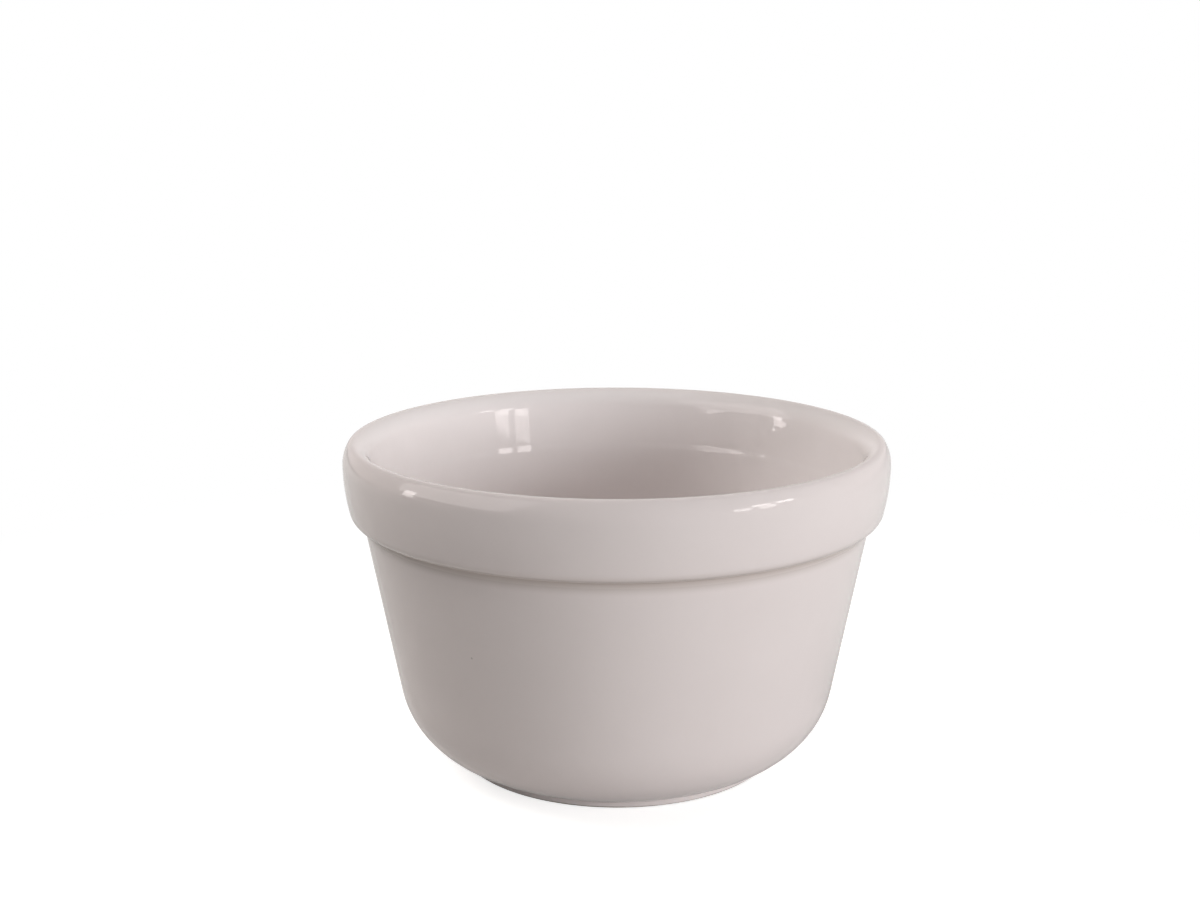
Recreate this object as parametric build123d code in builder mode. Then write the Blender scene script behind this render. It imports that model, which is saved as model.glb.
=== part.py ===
# A white glazed ramekin: a small round baking dish with a thick banded rim, sides that draw in
# towards the base and a low foot ring. Every piece is a turned form about Z, in millimetres.
# The origin is the centre of the plane that the foot ring stands on, and +Z points up the axis.

import os
from math import acos, cos, degrees, radians, sin, sqrt, tan

from build123d import *

# Fired clay, measured on the clay under the glaze
clay_height = 63.4
band_radius = 52.65  # widest point of the rim band
rim_thickness = 4.6  # across the rim band's top, from its widest point to the inside

# Crest of the rim, a three-arc form that is steeper outside than inside
crest_outer_width = 1.75  # from the widest point in to the highest line of the rim
crest_outer_radius = 6.15
crest_top_radius = 0.95
crest_inner_radius = 4.2

# Rim band, which swells over the wall and rolls back to it in a sharp crease
band_face_drop = 8.8  # from the widest point down to the start of the roll
band_face_taper = 1.0  # how far the face draws in over that drop
roll_drop = 1.4  # from the end of the face down to the crease
crease_step = 2.45  # how far the roll goes in to the crease

# Wall, and the heel that turns it in under the dish
wall_draft = 10.65  # degrees from upright
inner_draft = 10.2
heel_height = 14.4  # where the wall's straight flank ends
floor_thickness = 4.2
floor_corner_radius = 13.0

# Foot ring, and the recess that it leaves under the base
foot_set_in = 10.65  # from the end of the wall's flank in to the crease above the foot
foot_height = 1.65
foot_taper = 0.25
foot_width = 3.3  # across the flat that the dish stands on
foot_edge_bevel = 0.3  # fettled off both edges of the flat
recess_depth = 1.5
recess_flare = 0.7  # how far the recess widens down to the flat
recess_corner_radius = 0.8

# Glaze, fired onto the clay everywhere but the foot ring's dry resting edge
glaze_thickness = 0.35
dry_edge_height = 0.4
band_pool_radius = 0.9  # where glaze has gathered in the crease under the rim band
foot_pool_radius = 0.4  # and in the tighter crease above the foot

# Angles that the arcs of the crest turn through, from upright to the small top arc
crest_inner_width = rim_thickness - crest_outer_width
outer_turn = degrees(
    acos((crest_outer_radius - crest_outer_width) / (crest_outer_radius - crest_top_radius))
)
inner_turn = degrees(
    acos((crest_inner_radius - crest_inner_width) / (crest_inner_radius - crest_top_radius))
)
crest_rise = crest_top_radius + sqrt(
    (crest_outer_radius - crest_top_radius) ** 2 - (crest_outer_radius - crest_outer_width) ** 2
)

# Corners of the outline, as radius and height
widest = Vector(band_radius, clay_height - crest_rise)
face_end = widest - Vector(band_face_taper, band_face_drop)
crease = face_end - Vector(crease_step, roll_drop)
flank_drop = crease.Y - heel_height
heel_top = crease - Vector(flank_drop * tan(radians(wall_draft)), flank_drop)
foot_crease = Vector(heel_top.X - foot_set_in, foot_height)
foot_outer = Vector(foot_crease.X - foot_taper, 0)
foot_inner = foot_outer - Vector(foot_width, 0)
recess_corner = foot_inner + Vector(-recess_flare, recess_depth)
floor_height = recess_depth + floor_thickness


def nearest_vertex(sketch, point):
    """The corner of a section that lies nearest to a given radius and height."""
    return sketch.vertices().sort_by_distance(point)[0]


# Half section of the clay, drawn with radius across and height up
with BuildSketch(Plane.XZ) as clay_section:
    with BuildLine() as clay_outline:
        Polyline((0, recess_depth), recess_corner, foot_inner, foot_outer, foot_crease)
        wall_down = Vector(-sin(radians(wall_draft)), -cos(radians(wall_draft)))
        TangentArc(heel_top, foot_crease, tangent=wall_down)
        Line(heel_top, crease)
        band_face = TangentArc(widest, face_end, tangent=(0, -1))
        TangentArc(face_end, crease, tangent=band_face % 1)
        outer_shoulder = JernArc(widest, (0, 1), crest_outer_radius, outer_turn)
        top_turn = 180 - outer_turn - inner_turn
        crest_top = JernArc(outer_shoulder @ 1, outer_shoulder % 1, crest_top_radius, top_turn)
        lip_turn = inner_turn - inner_draft
        inner_shoulder = JernArc(crest_top @ 1, crest_top % 1, crest_inner_radius, lip_turn)
        floor_turn = 90 - inner_draft
        corner_rise = floor_corner_radius * (1 - sin(radians(inner_draft)))
        inner_drop = (inner_shoulder @ 1).Y - floor_height - corner_rise
        inner_flank = PolarLine(
            inner_shoulder @ 1, inner_drop, direction=inner_shoulder % 1, length_mode=LengthMode.VERTICAL
        )
        floor_corner = JernArc(inner_flank @ 1, inner_flank % 1, floor_corner_radius, -floor_turn)
        Polyline(floor_corner @ 1, (0, floor_height), (0, recess_depth))
    make_face()
    fillet(nearest_vertex(clay_section, recess_corner), recess_corner_radius)
    chamfer(nearest_vertex(clay_section, foot_inner), foot_edge_bevel)
    chamfer(nearest_vertex(clay_section, foot_outer), foot_edge_bevel)

# The glaze is an even layer round that section, pooled in the two creases, without the dry edge
with BuildSketch(Plane.XZ) as glaze_section:
    add(clay_section.sketch_local)
    offset(amount=glaze_thickness)
    fillet(nearest_vertex(glaze_section, crease), band_pool_radius)
    fillet(nearest_vertex(glaze_section, foot_crease), foot_pool_radius)
    add(clay_section.sketch_local, mode=Mode.SUBTRACT)
    split(bisect_by=Plane.YZ, keep=Keep.TOP)
    split(bisect_by=Plane.XZ.offset(-dry_edge_height), keep=Keep.BOTTOM)
coat_face, patch_face = glaze_section.sketch.faces().sort_by(SortBy.AREA, reverse=True)

# The dish itself, jiggered or cast in one piece of clay
with BuildPart() as stoneware_body:
    revolve(clay_section.sketch, axis=Axis.Z)

# Glaze over the inside, the rim, the band and the wall, down to the dry edge of the foot
with BuildPart() as glaze_coat:
    revolve(coat_face, axis=Axis.Z)

# Glaze in the recess under the base, closed off by the foot ring
with BuildPart() as base_glaze:
    revolve(patch_face, axis=Axis.Z)

stoneware_body.part.label = "stoneware_body"
glaze_coat.part.label = "glaze_coat"
base_glaze.part.label = "base_glaze"

os.makedirs("parts", exist_ok=True)
export_step(stoneware_body.part, "parts/stoneware_body.step")
export_step(glaze_coat.part, "parts/glaze_coat.step")
export_step(base_glaze.part, "parts/base_glaze.step")
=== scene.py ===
from math import acos, atan2, cos, hypot, pi, radians, sin, sqrt

import bmesh
import bpy
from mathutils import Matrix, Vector


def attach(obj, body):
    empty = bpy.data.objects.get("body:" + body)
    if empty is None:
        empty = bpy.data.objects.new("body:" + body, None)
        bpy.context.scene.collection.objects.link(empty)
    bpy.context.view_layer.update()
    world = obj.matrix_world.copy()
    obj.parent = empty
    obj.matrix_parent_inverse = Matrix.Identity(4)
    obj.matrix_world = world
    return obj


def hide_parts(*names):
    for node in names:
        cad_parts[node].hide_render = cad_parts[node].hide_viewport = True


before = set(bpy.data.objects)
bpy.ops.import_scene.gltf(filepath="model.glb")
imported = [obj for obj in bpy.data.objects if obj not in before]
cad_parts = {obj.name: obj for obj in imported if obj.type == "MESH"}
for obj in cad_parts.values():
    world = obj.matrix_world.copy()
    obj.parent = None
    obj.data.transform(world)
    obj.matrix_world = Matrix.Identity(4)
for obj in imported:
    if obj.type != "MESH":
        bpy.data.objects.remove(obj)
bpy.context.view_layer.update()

mm = 0.001

# Camera
# A hand-held view from about 0.3 m, a little above the rim and looking down into the dish.
camera_spot = Vector((0, -314.82, 131.05)) * mm
camera_turn = (radians(77.407), radians(0.0901), radians(0.5611))
lens_length = 49.5  # in millimetres, over a picture 36 mm wide
bpy.ops.object.camera_add(location=camera_spot, rotation=camera_turn)
camera = bpy.context.object
camera.data.lens = lens_length
camera.data.sensor_width = 36
bpy.context.scene.camera = camera
bpy.context.scene.view_settings.view_transform = "Standard"

# Stoneware dish
# The pot itself, jiggered in one piece from pale stoneware clay: floor, heel and wall, a thick
# band rolled over the rim, and a foot ring whose flat was wiped bare and is rubbed by use.
clay_height = 63.4 * mm
band_radius = 52.65 * mm  # widest point of the rim band
rim_thickness = 4.6 * mm

crest_outer_width = 1.75 * mm  # from the widest point in to the highest line
crest_outer_radius = 6.15 * mm
crest_top_radius = 0.95 * mm
crest_inner_radius = 4.2 * mm

band_face_drop = 8.8 * mm
band_face_taper = 1.0 * mm
roll_drop = 1.4 * mm
crease_step = 2.45 * mm

wall_draft = radians(10.65)
inner_draft = radians(10.2)
heel_height = 14.4 * mm
floor_thickness = 4.2 * mm
floor_corner_radius = 13.0 * mm

foot_set_in = 10.65 * mm
foot_height = 1.65 * mm
foot_taper = 0.25 * mm
foot_width = 3.3 * mm
foot_edge_bevel = 0.3 * mm
recess_depth = 1.5 * mm
recess_flare = 0.7 * mm
recess_corner_radius = 0.8 * mm

turn_steps = 192  # round the axis
flank_steps = 22  # down the wall, outside and inside
floor_steps = 12
recess_steps = 10
foot_steps = 2
edge_bevel_steps = 3
corner_bevel_steps = 6
arc_step = radians(5)
shallow_arc_step = radians(1.5)
small_arc_step = radians(10)
shade_angle = radians(35)
weld_distance = 0.002 * mm


def right_of(line):
    """The direction at right angles to a line, on its right as it is followed."""
    return Vector((line.y, -line.x)).normalized()


def arc_centre(start, inward, end):
    """Centre of the arc that starts square to a direction and ends at a point."""
    chord = end - start
    return start + inward * (chord.length_squared / (2 * chord.dot(inward)))


# Crest: an outer shoulder, a small top and an inner shoulder, three arcs that run on smoothly
crest_inner_width = rim_thickness - crest_outer_width
outer_turn = acos(
    (crest_outer_radius - crest_outer_width) / (crest_outer_radius - crest_top_radius)
)
inner_turn = acos(
    (crest_inner_radius - crest_inner_width) / (crest_inner_radius - crest_top_radius)
)
top_centre = Vector((band_radius - crest_outer_width, clay_height - crest_top_radius))
outer_way = Vector((cos(outer_turn), sin(outer_turn)))
inner_way = Vector((-cos(inner_turn), sin(inner_turn)))
outer_centre = top_centre - outer_way * (crest_outer_radius - crest_top_radius)
inner_centre = top_centre - inner_way * (crest_inner_radius - crest_top_radius)

# Corners of the outline as radius and height, and the centres of the arcs between them
wall_up = Vector((sin(wall_draft), cos(wall_draft)))
wall_out = right_of(wall_up)
widest = Vector((band_radius, outer_centre.y))
face_end = widest - Vector((band_face_taper, band_face_drop))
crease = face_end - Vector((crease_step, roll_drop))
heel_top = crease - wall_up * ((crease.y - heel_height) / wall_up.y)
foot_crease = Vector((heel_top.x - foot_set_in, foot_height))
foot_outer = Vector((foot_crease.x - foot_taper, 0))
foot_inner = foot_outer - Vector((foot_width, 0))
recess_corner = foot_inner + Vector((-recess_flare, recess_depth))
foot_up = (foot_crease - foot_outer).normalized()
foot_out = right_of(foot_up)
recess_up = (recess_corner - foot_inner).normalized()
recess_in = -right_of(recess_up)
face_centre = arc_centre(widest, Vector((-1, 0)), face_end)
roll_centre = arc_centre(face_end, (face_centre - face_end).normalized(), crease)
heel_centre = arc_centre(heel_top, -wall_out, foot_crease)

floor_height = recess_depth + floor_thickness
inner_up = Vector((sin(inner_draft), cos(inner_draft)))
inner_in = -right_of(inner_up)
flank_top = inner_centre + inner_in * crest_inner_radius
corner_rise = floor_corner_radius * (1 - sin(inner_draft))
flank_foot = flank_top - inner_up * ((flank_top.y - floor_height - corner_rise) / inner_up.y)
corner_centre = flank_foot + inner_in * floor_corner_radius
straight_down = Vector((0, -1))
straight_up = Vector((0, 1))


def new_piece(name):
    """A new piece in edit mode, with nothing drawn in it yet."""
    bpy.ops.object.select_all(action="DESELECT")
    bpy.ops.mesh.primitive_circle_add(vertices=3, radius=mm)
    piece = bpy.context.object
    piece.name = name
    bpy.ops.object.mode_set(mode="EDIT")
    bpy.ops.mesh.select_mode(type="VERT")
    bpy.ops.mesh.select_all(action="SELECT")
    bpy.ops.mesh.delete(type="VERT")
    return piece


def pen_down(point):
    """Starts a line of the half section with one vertex at a radius and a height."""
    bpy.ops.mesh.select_all(action="DESELECT")
    bpy.ops.mesh.primitive_circle_add(vertices=3, radius=mm, location=(point.x, 0, point.y))
    bpy.ops.mesh.merge(type="CENTER")


def pen_place():
    """Radius and height that the pen has reached."""
    drawing = bmesh.from_edit_mesh(bpy.context.object.data)
    tip = next(v for v in drawing.verts if v.select)
    return Vector((tip.co.x, tip.co.z))


def line_to(point, steps=1):
    """Draws a straight line in equal steps."""
    step = (point - pen_place()) / steps
    for _ in range(steps):
        bpy.ops.mesh.extrude_region_move(TRANSFORM_OT_translate={"value": (step.x, 0, step.y)})


def arc_about(centre, way, step_angle=arc_step):
    """Draws an arc about a centre, the short way round until it lies that way from the centre."""
    start = pen_place() - centre
    turn = atan2(start.x * way.y - start.y * way.x, start.dot(way))
    steps = max(2, round(abs(turn) / step_angle))
    bpy.ops.mesh.spin(
        steps=steps, angle=turn, center=(centre.x, 0, centre.y), axis=(0, 1, 0), dupli=False
    )


def draw_rim_and_inside(layer):
    """Draws from the end of the roll over the rim and down to the middle of the floor, on the
    clay or, with a layer's thickness, on the layer over it."""
    arc_about(roll_centre, face_end - roll_centre)
    arc_about(face_centre, widest - face_centre, shallow_arc_step)
    arc_about(outer_centre, outer_way)
    arc_about(top_centre, straight_up, small_arc_step)
    arc_about(top_centre, inner_way, small_arc_step)
    arc_about(inner_centre, inner_in)
    line_to(flank_foot + inner_in * layer, flank_steps)
    arc_about(corner_centre, straight_down)
    line_to(Vector((0, floor_height + layer)), floor_steps)


def turn_round():
    """Turns the drawn section once round the axis and closes its seam and its poles."""
    bpy.ops.mesh.select_all(action="SELECT")
    bpy.ops.mesh.spin(
        steps=turn_steps, angle=2 * pi, center=(0, 0, 0), axis=(0, 0, 1), dupli=False
    )
    bpy.ops.mesh.select_all(action="SELECT")
    bpy.ops.mesh.remove_doubles(threshold=weld_distance)
    bpy.ops.mesh.select_all(action="SELECT")
    bpy.ops.mesh.normals_make_consistent(inside=False)


def pick_ring(piece, corner, reach=0.05 * mm):
    """Selects the edges that run round the axis at a corner of the outline."""
    bpy.ops.mesh.select_mode(type="EDGE")
    bpy.ops.mesh.select_all(action="DESELECT")
    shape = bmesh.from_edit_mesh(piece.data)
    for edge in shape.edges:
        edge.select = all(
            abs(hypot(v.co.x, v.co.y) - corner.x) < reach and abs(v.co.z - corner.y) < reach
            for v in edge.verts
        )
    bmesh.update_edit_mesh(piece.data)


def finish_piece(piece, material, node):
    """Smooths a piece, gives it its material and puts it in the place of its CAD node."""
    bpy.ops.object.mode_set(mode="OBJECT")
    bpy.ops.object.shade_smooth_by_angle(angle=shade_angle)
    piece.data.materials.append(material)
    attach(piece, "root")
    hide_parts(node)


class Value:
    """An output of a shader node, which adds Math nodes when it is used in a sum."""

    def __init__(self, socket):
        self.socket = socket

    def node(self, kind, settings, inputs, output=0):
        """Adds a node of any kind to the same material and gives one of its outputs."""
        tree = self.socket.id_data
        node = tree.nodes.new(kind)
        for setting, choice in settings.items():
            setattr(node, setting, choice)
        for place, value in inputs.items():
            if isinstance(value, Value):
                tree.links.new(value.socket, node.inputs[place])
            else:
                node.inputs[place].default_value = value
        return Value(node.outputs[output])

    def feeds(self, shader, place):
        """Links this value to an input of a shader."""
        self.socket.id_data.links.new(self.socket, shader.inputs[place])

    def maths(self, operation, first, second=0.0):
        return self.node("ShaderNodeMath", {"operation": operation}, {0: first, 1: second})

    def __add__(self, other):
        return self.maths("ADD", self, other)

    def __radd__(self, other):
        return self.maths("ADD", other, self)

    def __sub__(self, other):
        return self.maths("SUBTRACT", self, other)

    def __rsub__(self, other):
        return self.maths("SUBTRACT", other, self)

    def __mul__(self, other):
        return self.maths("MULTIPLY", self, other)

    def __rmul__(self, other):
        return self.maths("MULTIPLY", other, self)

    def below(self, edge, blur):
        """1 where this value is under an edge, falling smoothly to 0 over a blur."""
        return self.node(
            "ShaderNodeMapRange",
            {"interpolation_type": "SMOOTHSTEP"},
            {"Value": self, "From Min": edge - blur, "From Max": edge + blur,
             "To Min": 1.0, "To Max": 0.0},
        )

    def noise(self, size, detail=2.0, roughness=0.5):
        """Smooth noise from 0 to 1, whose blotches are about that size in metres."""
        return self.node(
            "ShaderNodeTexNoise",
            {},
            {"Vector": self, "Scale": 1 / size, "Detail": detail, "Roughness": roughness},
        )

    def specks(self, size):
        """Distance to the nearest of scattered points, in parts of the size between them."""
        return self.node(
            "ShaderNodeTexVoronoi", {"feature": "F1"}, {"Vector": self, "Scale": 1 / size}
        )

    def speck_number(self, size):
        """A number from 0 to 1 that is the same all over each scattered point's patch."""
        colour = self.node(
            "ShaderNodeTexVoronoi", {"feature": "F1"}, {"Vector": self, "Scale": 1 / size}, 1
        )
        return colour.node("ShaderNodeSeparateColor", {}, {0: colour})

    def blend(self, first, second):
        """A colour that goes from the first to the second as this value goes from 0 to 1."""
        return self.node(
            "ShaderNodeMix", {"data_type": "RGBA"}, {0: self, 6: first, 7: second}, 2
        )


def new_finish(name):
    """A new material, its shader, and the place on the piece as a value."""
    material = bpy.data.materials.new(name)
    material.use_nodes = True
    nodes = material.node_tree.nodes
    place = Value(nodes.new("ShaderNodeTexCoord").outputs["Object"])
    return material, nodes["Principled BSDF"], place


def part_of(place, axis):
    """One coordinate of a place: 0 for X, 1 for Y and 2 for Z."""
    return place.node("ShaderNodeSeparateXYZ", {}, {0: place}, axis)


def distance_out(place):
    """How far a place is from the dish's axis."""
    across = place.node(
        "ShaderNodeVectorMath", {"operation": "MULTIPLY"}, {0: place, 1: (1, 1, 0)}
    )
    return place.node("ShaderNodeVectorMath", {"operation": "LENGTH"}, {0: across}, 1)


def roughen(place, shader, height, depth):
    """Raises a surface by a height that is given in parts of a depth in metres."""
    place.node("ShaderNodeBump", {}, {"Height": height, "Distance": depth}).feeds(
        shader, "Normal"
    )


# Bare clay shows only on the foot: buff and gritty, with iron specks, and darker in blotches
# along its lowest edge
clay_buff = (0.60, 0.535, 0.455, 1)
clay_pale = (0.69, 0.635, 0.565, 1)
clay_dark_edge = (0.30, 0.255, 0.22, 1)
iron_brown = (0.20, 0.115, 0.07, 1)
clay_patch = 4 * mm
rubbed_height = 0.28 * mm  # the foot is rubbed smooth below this, and darker there in blotches
rubbed_fade = 0.12 * mm
blotch_size = 2.5 * mm
iron_spread = 1.6 * mm  # from one speck to the next
grit_size = 0.35 * mm
grit_depth = 0.05 * mm
turning_pitch = 0.4 * mm  # rings left by the turning tool
bare_clay, clay_shader, clay_place = new_finish("bare_clay")
clay_colour = clay_place.noise(clay_patch, 3.0).blend(clay_buff, clay_pale)
rubbed = part_of(clay_place, 2).below(rubbed_height, rubbed_fade)
# Blotches of darker clay along the foot's lowest edge.
dark_edge_blotches = rubbed * clay_place.noise(blotch_size, 4.0, 0.6).below(0.62, 0.12) * 0.85
clay_colour = dark_edge_blotches.blend(clay_colour, clay_dark_edge)
iron = clay_place.specks(iron_spread).below(0.1, 0.04)
iron = iron * clay_place.speck_number(iron_spread).below(0.35, 0.02)
(iron * 0.75).blend(clay_colour, iron_brown).feeds(clay_shader, "Base Color")
(0.93 - 0.25 * rubbed).feeds(clay_shader, "Roughness")
clay_grit = clay_place.noise(grit_size, 3.0, 0.65)
clay_turn = distance_out(clay_place) * (2 * pi / turning_pitch)
clay_rings = clay_turn.maths("SINE", clay_turn)
roughen(clay_place, clay_shader, clay_grit * 0.8 + clay_rings * 0.12, grit_depth)

dish = new_piece("stoneware_dish")
pen_down(Vector((0, recess_depth)))
line_to(recess_corner, recess_steps)
line_to(foot_inner, foot_steps)
line_to(foot_outer, foot_steps)
line_to(foot_crease, foot_steps)
arc_about(heel_centre, heel_top - heel_centre)
line_to(crease, flank_steps)
draw_rim_and_inside(0)
turn_round()
for edge_corner in (foot_outer, foot_inner):
    pick_ring(dish, edge_corner)
    bpy.ops.mesh.bevel(offset=foot_edge_bevel, segments=edge_bevel_steps, affect="EDGES")
pick_ring(dish, recess_corner)
recess_turn = recess_up.angle(Vector((-1, 0)))
recess_bevel = recess_corner_radius * sin(recess_turn / 2) / cos(recess_turn / 2)
bpy.ops.mesh.bevel(offset=recess_bevel, segments=corner_bevel_steps, affect="EDGES")
finish_piece(dish, bare_clay, "stoneware_body")

# Glaze coat
# The glassy white skin over the inside, the rim, the band and the wall, dipped and fired on.
# It gathered in the creases, where its tone is also painted darker as shade, lies in faint waves,
# and ends in a soft bead above the dry foot.
glaze_thickness = 0.35 * mm
dry_edge_height = 0.4 * mm
band_pool_radius = 0.9 * mm
foot_pool_radius = 0.4 * mm
bead_arc_step = radians(22.5)
wave_depth = 0.008 * mm
wave_size = 11 * mm
edge_wander = 0.35 * mm  # how much the glaze's lower edge rises and falls round the foot
edge_wander_size = 7 * mm


def pool_between(pool_radius, arc, radius, flank_point, flank_out):
    """The two centres of a pool that touches the glaze on both an arc and a straight flank."""
    away = glaze_thickness + pool_radius
    flank = flank_point + flank_out * away
    along = Vector((-flank_out.y, flank_out.x))
    run = (arc - flank).dot(along)
    spare = sqrt((radius + away) ** 2 - (arc - flank).length_squared + run * run)
    return flank + along * (run - spare), flank + along * (run + spare)


heel_radius = (foot_crease - heel_centre).length
roll_radius = (crease - roll_centre).length
foot_pool = min(
    pool_between(foot_pool_radius, heel_centre, heel_radius, foot_outer, foot_out),
    key=lambda centre: (centre - foot_crease).length,
)
band_pool = min(
    pool_between(band_pool_radius, roll_centre, roll_radius, heel_top, wall_out),
    key=lambda centre: (centre - crease).length,
)
bead_radius = glaze_thickness / 2
bead_start = foot_outer + foot_up * ((dry_edge_height + bead_radius) / foot_up.y)
bead_centre = bead_start + foot_out * bead_radius


def cloud_waves(piece, name, size, depth, direction="NORMAL", still=1.0, share=None):
    """Moves a piece's skin by cloudy noise, all over or by a share for each radius and height."""
    clouds = bpy.data.textures.new(name, "CLOUDS")
    clouds.noise_scale = size
    waves = piece.modifiers.new(name, "DISPLACE")
    waves.texture = clouds
    waves.texture_coords = "LOCAL"
    waves.direction = direction
    waves.strength = depth
    waves.mid_level = still
    if share:
        group = piece.vertex_groups.new(name=name)
        for vertex in piece.data.vertices:
            weight = share(hypot(vertex.co.x, vertex.co.y), vertex.co.z)
            group.add([vertex.index], min(1, max(0, weight)), "REPLACE")
        waves.vertex_group = name
    bpy.ops.object.modifier_apply(modifier=name)
    piece.vertex_groups.clear()


def mix_glaze(name, white, shade, pit_share, inside_painted_tones=None):
    """An opaque white glaze, a little uneven in tone, with faint ripples and a few pinholes, and
    painted darker in the creases as shade. Inside tones, painted paler as light falling on the
    inside, come with the inside's step and runs."""
    material, shader, place = new_finish(name)
    patches = place.noise(patch_size, 3.0, 0.55)
    tone = patches.blend(shade, white)
    out = distance_out(place)
    up = part_of(place, 2)
    if inside_painted_tones:
        inside_wall = (out - up * lining_slope).below(lining_wall_edge, lining_wall_blur)
        inside_heel = (out - up).below(lining_heel_edge, lining_heel_blur)
        # The inside's tones are painted paler, standing in for light that falls inside the dish.
        tone = (inside_wall * inside_heel).blend(tone, patches.blend(*inside_painted_tones))
    roughness = 0.02 + 0.04 * place.noise(smear_size, 4.0, 0.6)
    # Each crease gets a darker tone, partly glaze pooled there and partly painted shade, and
    # shines less.
    for corner, reach, blur in pools_and_shade:
        aside = (out - corner.x) * (out - corner.x) + (up - corner.y) * (up - corner.y)
        pooled_and_shaded = aside.maths("SQRT", aside).below(reach, blur)
        tone = (pooled_and_shaded * 0.8).blend(tone, pool_and_shade_colour)
        roughness = roughness + 0.4 * pooled_and_shaded
    pit = place.specks(pit_spread).below(pit_radius, pit_edge)
    pit = pit * place.speck_number(pit_spread).below(pit_share, 0.01)
    (pit * 0.5).blend(tone, pit_grey).feeds(shader, "Base Color")
    roughness.feeds(shader, "Roughness")
    ripples = place.noise(ripple_size, 1.0) * 0.25 + place.noise(fine_ripple_size, 2.0) * 0.06
    skin = ripples - pit * pit_depth
    if inside_painted_tones:
        step = up.below(glaze_step_height, glaze_step_blur) * inside_wall
        from_runs = place.node(
            "ShaderNodeVectorMath", {"operation": "DISTANCE"}, {0: place, 1: runs_place}, 1
        )
        runs = from_runs.below(runs_reach, runs_blur) * place.noise(run_size, 0.6)
        skin = skin + step * glaze_step + runs * run_ridge
    roughen(place, shader, skin, skin_depth)
    return material


glaze_white = (0.780, 0.704, 0.692, 1)
glaze_shade = (0.752, 0.676, 0.662, 1)
inside_painted_light_white = (0.872, 0.815, 0.806, 1)  # painted paler than the outside, as light falling inside the dish
inside_painted_light_shade = (0.854, 0.796, 0.786, 1)
# Tone of the creases: pooled glaze, darkened further as painted shade.
pool_and_shade_colour = (0.42, 0.355, 0.32, 1)
pit_grey = (0.28, 0.25, 0.23, 1)
patch_size = 13 * mm
smear_size = 7 * mm  # patches that shine a little less
ripple_size = 3.2 * mm
fine_ripple_size = 0.7 * mm
pit_spread = 9 * mm
pit_radius = 0.026  # in parts of the spread, as is the next
pit_edge = 0.008
pit_depth = 1.8  # in parts of the depth below, as are the other heights
coat_pit_share = 0.3  # how many of the scattered points have a pinhole
skin_depth = 0.01 * mm
pools_and_shade = (  # corner, reach and blur of the darker tone in each crease: pooled glaze with painted shade
    (crease, 1.9 * mm, 1.6 * mm),
    (foot_crease, 0.24 * mm, 0.12 * mm),
)
glaze_step_height = 51.7 * mm  # a faint ring inside, where a second coat of glaze ends
glaze_step_blur = 0.8 * mm
glaze_step = 6.0
runs_place = Vector((34.4, 32.8, 56.5)) * mm  # where the inside glaze has run in faint ridges
runs_reach = 8 * mm
runs_blur = 5 * mm
run_size = 4.5 * mm
run_ridge = 26.0
lining_slope = 0.184  # this cone and a flatter one run inside the thickness of the clay
lining_wall_edge = 38.7 * mm
lining_wall_blur = 1.5 * mm
lining_heel_edge = 28.3 * mm
lining_heel_blur = 1.0 * mm
white_glaze = mix_glaze(
    "white_glaze", glaze_white, glaze_shade, coat_pit_share, (inside_painted_light_shade, inside_painted_light_white)
)

glaze = new_piece("glaze_skin")
pen_down(bead_start)
line_to(foot_crease, foot_steps)
arc_about(heel_centre, heel_top - heel_centre)
line_to(crease, flank_steps)
draw_rim_and_inside(0)
pen_down(bead_start)
arc_about(bead_centre, -foot_up, bead_arc_step)
arc_about(bead_centre, foot_out, bead_arc_step)
line_to(foot_pool - foot_out * foot_pool_radius, foot_steps)
arc_about(foot_pool, heel_centre - foot_pool, small_arc_step)
arc_about(heel_centre, heel_top - heel_centre)
line_to(band_pool - wall_out * band_pool_radius, flank_steps)
arc_about(band_pool, roll_centre - band_pool, small_arc_step)
draw_rim_and_inside(glaze_thickness)
turn_round()
bpy.ops.object.mode_set(mode="OBJECT")
cloud_waves(glaze, "glaze_waves", wave_size, wave_depth)
cloud_waves(
    glaze, "edge_wander", edge_wander_size, edge_wander, "Z", 0.5,
    lambda radius, height: (foot_height - height) / (foot_height - dry_edge_height),
)
finish_piece(glaze, white_glaze, "glaze_coat")

# Base glaze
# The patch of the same glaze inside the foot ring. The wiped ring parts it from the coat, and
# it lies thin and greyer, because it was fired close over the kiln shelf.
base_white = (0.740, 0.672, 0.656, 1)
base_shade = (0.680, 0.612, 0.592, 1)
base_pit_share = 0.6
base_finish = mix_glaze("base_glaze", base_white, base_shade, base_pit_share)
recess_round = recess_corner_radius
recess_centre = Vector((0, recess_depth - recess_round))
recess_touch = foot_inner + recess_in * recess_round
recess_centre.x = recess_touch.x + recess_up.x * (recess_centre.y - recess_touch.y) / recess_up.y
base_bead = foot_inner + recess_up * ((dry_edge_height + bead_radius) / recess_up.y)
base_bead_centre = base_bead + recess_in * bead_radius

base = new_piece("base_glaze_patch")
pen_down(Vector((0, recess_depth)))
line_to(recess_centre + straight_up * recess_round, recess_steps)
arc_about(recess_centre, -recess_in, small_arc_step)
line_to(base_bead)
arc_about(base_bead_centre, -recess_up, bead_arc_step)
arc_about(base_bead_centre, recess_in, bead_arc_step)
line_to(recess_centre - recess_in * (recess_round - glaze_thickness))
arc_about(recess_centre, straight_up, small_arc_step)
line_to(Vector((0, recess_depth - glaze_thickness)), recess_steps)
turn_round()
finish_piece(base, base_finish, "base_glaze")

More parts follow.
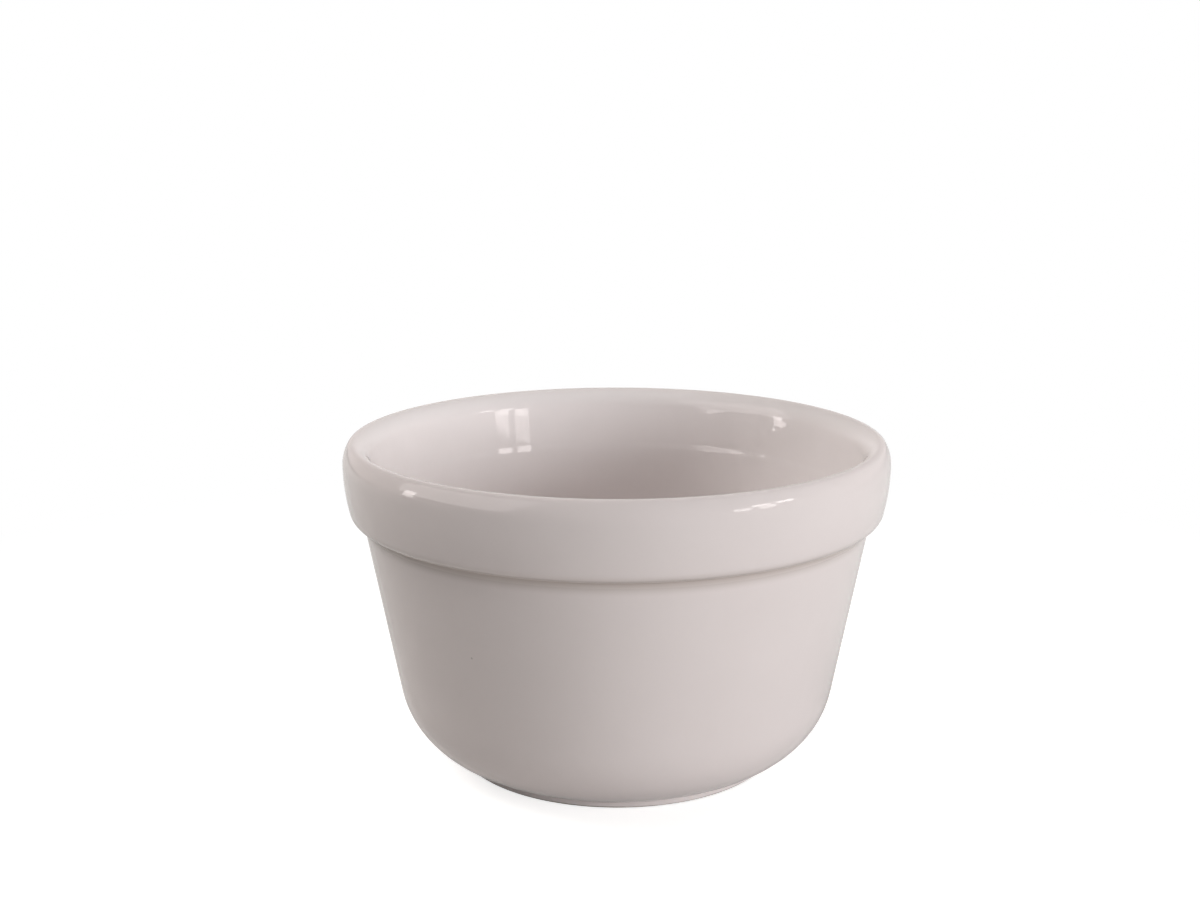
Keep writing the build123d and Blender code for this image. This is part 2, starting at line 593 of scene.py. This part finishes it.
# Studio
# The dish stands on pale paper in a plain white room. Wide windows on the right and in front
# light it, with weaker ones on the left, behind and overhead. The glaze mirrors their panes.
floor_reach = 3.0
floor_drop = 0.05 * mm  # keeps the paper just clear of the foot
floor_colour = (0.64, 0.630, 0.617, 1)
floor_lift = 0.74  # added for the camera, so that paper in plain light shows as white
paper_gloss = 0.25  # the share of that which the glaze mirrors
paper_near = 0.16  # the paper's own shade shows within this distance of the dish
paper_fade = 0.08
room_strength = 0.03  # on the dish, while the camera and the glaze see a white room
pane_colour = (1.0, 0.92, 0.905)  # of all that the glaze mirrors but the paper
day_colour = (0.975, 0.99, 1.0)
wall_colour = (1.0, 0.98, 0.95)

bpy.ops.object.select_all(action="DESELECT")
bpy.ops.mesh.primitive_plane_add(size=2 * floor_reach, location=(0, 0, -floor_drop))
floor = bpy.context.object
floor.name = "paper_floor"
paper = bpy.data.materials.new("paper")
paper.use_nodes = True
paper_nodes = paper.node_tree.nodes
paper_nodes.remove(paper_nodes["Principled BSDF"])
paper_place = Value(paper_nodes.new("ShaderNodeTexCoord").outputs["Object"])
paper_path = paper_nodes.new("ShaderNodeLightPath")
paper_seen = Value(paper_path.outputs["Is Camera Ray"])
for ray in ("Is Glossy Ray", "Is Transmission Ray"):
    paper_mirrored = Value(paper_path.outputs[ray]) * paper_gloss
    paper_seen = paper_seen.maths("MAXIMUM", paper_seen, paper_mirrored)
paper_shade = paper_place.node("ShaderNodeBsdfDiffuse", {}, {"Color": floor_colour})
paper_glow = paper_place.node("ShaderNodeEmission", {}, {"Strength": paper_seen * floor_lift})
paper_lit = paper_place.node("ShaderNodeAddShader", {}, {0: paper_shade, 1: paper_glow})
paper_white = paper_place.node("ShaderNodeEmission", {}, {"Strength": 1.0})
paper_far = paper_seen * (1 - distance_out(paper_place).below(paper_near, paper_fade))
paper_all = paper_place.node(
    "ShaderNodeMixShader", {}, {0: paper_far, 1: paper_lit, 2: paper_white}
)
paper_all.feeds(paper_nodes["Material Output"], "Surface")
floor.data.materials.append(paper)

world = bpy.data.worlds.new("white_room")
bpy.context.scene.world = world
world.use_nodes = True
room_nodes = world.node_tree.nodes
room_light = room_nodes["Background"]
room_path = room_nodes.new("ShaderNodeLightPath")
room_seen = Value(room_path.outputs["Is Camera Ray"])
for ray in ("Is Glossy Ray", "Is Transmission Ray"):
    room_seen = room_seen.maths("MAXIMUM", room_seen, Value(room_path.outputs[ray]))
room_level = room_seen * (1 - room_strength) + room_strength
room_level.feeds(room_light, "Strength")
room_warmth = Value(room_path.outputs["Is Glossy Ray"]).blend((1, 1, 1, 1), (*pane_colour, 1))
room_warmth.feeds(room_light, "Color")


def hang_lamp(name, bearing, rise, wide, tall, brightness, lamp_distance=1.2):
    """A soft box that faces the dish. Its bearing is in degrees clockwise from straight behind
    the dish, its rise in degrees above the table, and its sizes are the angles that it spans."""
    away = Vector((sin(radians(bearing)), cos(radians(bearing)), 0)) * cos(radians(rise))
    away.z = sin(radians(rise))
    bpy.ops.object.light_add(type="AREA", location=away * lamp_distance + lamp_aim)
    lamp = bpy.context.object
    lamp.name = name
    lamp.data.shape = "RECTANGLE"
    lamp.data.size = lamp_distance * radians(wide)
    lamp.data.size_y = lamp_distance * radians(tall)
    lamp.data.energy = pi * lamp.data.size * lamp.data.size_y * brightness
    lamp.rotation_euler = (-away).to_track_quat("-Z", "Y").to_euler()
    return lamp


lamp_aim = Vector((0, 0, 50 * mm))
right_window = hang_lamp("right_window", 117, 10, 34, 18, 9.2)
front_window = hang_lamp("front_window", 147, 8, 24, 15, 7.0)
back_window = hang_lamp("back_window", 50, 32, 30, 22, 3.1)
left_window = hang_lamp("left_window", 292, 32, 36, 22, 5.6)
left_skylight = hang_lamp("left_skylight", 280, 58, 40, 28, 2.4)
front_skylight = hang_lamp("front_skylight", 215, 58, 40, 28, 0.7)
windows = (
    right_window, front_window, back_window, left_window, left_skylight, front_skylight
)
for lamp in windows:  # seen only on matt surfaces
    lamp.visible_glossy = False
    lamp.data.color = day_colour if lamp in (right_window, front_window) else wall_colour
panes = (
    hang_lamp("lower_right_pane", 119.2, 7.8, 7.4, 2.2, 3.0, 1.0),
    hang_lamp("lower_front_pane", 130.2, 7.8, 7.4, 2.2, 2.6, 1.0),
    hang_lamp("upper_right_pane", 119.2, 11.4, 7.4, 4.8, 5.6, 1.0),
    hang_lamp("upper_front_pane", 130.2, 11.4, 7.4, 4.8, 5.2, 1.0),
    hang_lamp("top_right_pane", 110, 16.4, 8, 4, 8.0, 1.0),
    hang_lamp("top_front_pane", 121, 16.4, 8, 4, 8.0, 1.0),
    hang_lamp("left_pane", 269.5, 9.5, 6, 12, 5.0, 1.0),
    hang_lamp("left_sill", 249, 10.8, 46, 1.2, 3.2, 1.05),
    hang_lamp("left_wall", 250, 30, 60, 40, 1.5, 1.1),
)
for lamp in panes:  # seen only as reflections
    lamp.visible_diffuse = False
    lamp.data.color = pane_colour
